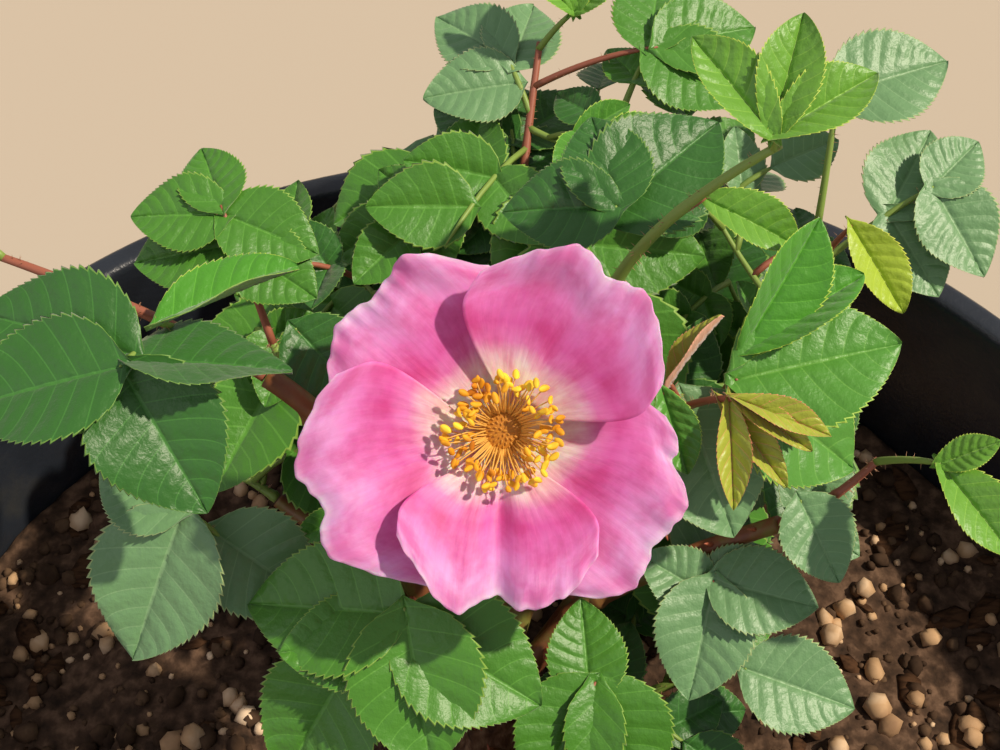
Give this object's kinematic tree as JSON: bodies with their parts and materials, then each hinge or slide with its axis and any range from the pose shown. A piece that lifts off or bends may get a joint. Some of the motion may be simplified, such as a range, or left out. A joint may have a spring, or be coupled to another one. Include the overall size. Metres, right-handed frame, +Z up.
{
  "type": "potted rose bush",
  "caption": "Young wild-type shrub rose in a round black nursery pot: thin green canes from a short woody stem carry pinnate leaves and an open pink bloom.",
  "frame": {"origin": "middle of the pot's flat underside", "axes": "+Z up; the bloom faces -Y and up, and +X is to the right of someone who looks at its face"},
  "size_m": [0.3, 0.3, 0.3487],
  "materials": {
    "pot": "satin black moulded plastic",
    "soil": "moist bark compost with perlite and grit",
    "bark": "rough young bark",
    "cane": "smooth green and reddish rind",
    "leaf": "satin leaf",
    "petal": "soft velvety petal",
    "stamen": "matte pollen",
    "calyx": "downy green"
  },
  "bodies": {
    "root": {"cane_back": "cane", "cane_back_right": "cane", "cane_bloom": "cane", "cane_front": "cane", "cane_front_right": "cane", "cane_left": "cane", "cane_near": "cane", "cane_right": "cane", "cane_upper": "cane", "hip_and_sepals": "calyx", "leaves_back_left": "leaf", "leaves_back_low": "leaf", "leaves_back_mid": "leaf", "leaves_back_right": "leaf", "leaves_back_top": "leaf", "leaves_far_left": "leaf", "leaves_far_right": "leaf", "leaves_front": "leaf", "leaves_front_low": "leaf", "leaves_front_right": "leaf", "leaves_left_back": "leaf", "leaves_left_low": "leaf", "leaves_left_near": "leaf", "leaves_near": "leaf", "leaves_near_left": "leaf", "leaves_near_right": "leaf", "leaves_right_fold": "leaf", "leaves_right_low": "leaf", "leaves_right_near": "leaf", "leaves_upper_right": "leaf", "main_stem": "bark", "petal_left": "petal", "petal_lower": "petal", "petal_right": "petal", "petal_upper_left": "petal", "petal_upper_right": "petal", "pot": "pot", "side_back_left": "cane", "side_back_low": "cane", "side_back_mid": "cane", "side_far_left": "cane", "side_far_right": "cane", "side_front_low": "cane", "side_left_back": "cane", "side_left_low": "cane", "side_near_left": "cane", "side_near_right": "cane", "side_right_low": "cane", "side_right_near": "cane", "soil": "soil", "stamens": "stamen"}
  },
  "joints": []
}
